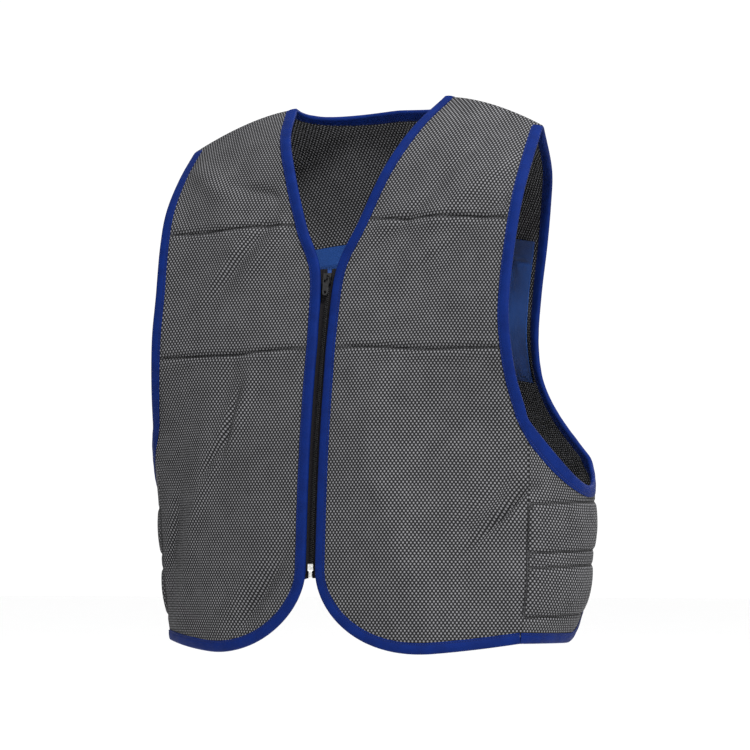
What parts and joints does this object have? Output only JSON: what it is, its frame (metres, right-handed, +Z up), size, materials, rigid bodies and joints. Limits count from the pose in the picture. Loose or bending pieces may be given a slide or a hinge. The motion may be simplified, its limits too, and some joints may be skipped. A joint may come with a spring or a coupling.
{
  "type": "cooling vest",
  "caption": "Sleeveless zip-front cooling vest of spacer mesh with bound edges, an inner back pocket and elastic side bands.",
  "frame": {"origin": "middle of the neck opening, level with the neck's corners on the shoulders, where the vest sits on its wearer", "axes": "+Z up; -Y is the front, with the zip; +X is the wearer's left"},
  "size_m": [0.5578, 0.2943, 0.6397],
  "materials": {
    "mesh_cloth": "black spacer mesh with pale dots",
    "blue_tape": "woven royal-blue binding tape",
    "blue_nylon": "thin smooth nylon",
    "zip_tape": "woven black zipper tape",
    "zip_black": "black enamel",
    "zip_silver": "plain silver"
  },
  "bodies": {
    "vest": {"front_panel_right": "mesh_cloth", "front_panel_left": "mesh_cloth", "back_panel": "mesh_cloth", "side_panel_right": "mesh_cloth", "side_panel_left": "mesh_cloth", "neck_binding": "blue_tape", "front_binding_right": "blue_tape", "front_binding_left": "blue_tape", "hem_binding": "blue_tape", "armhole_binding_right": "blue_tape", "armhole_binding_left": "blue_tape", "inner_pocket_upper": "blue_nylon", "inner_pocket_lower": "blue_nylon", "zip_tape_right": "zip_tape", "zip_tape_left": "zip_tape", "zip_chain": "zip_black", "zip_slider": "zip_black", "zip_box": "zip_silver"},
    "zip_pull": {"zip_pull": "zip_black"}
  },
  "joints": [
    {"name": "pull_swing", "type": "hinge", "parent": "vest", "child": "zip_pull", "pos_m": [0, -0.09899, -0.21156], "axis": [-1, 0, 0], "range_deg": [0, 170]}
  ]
}
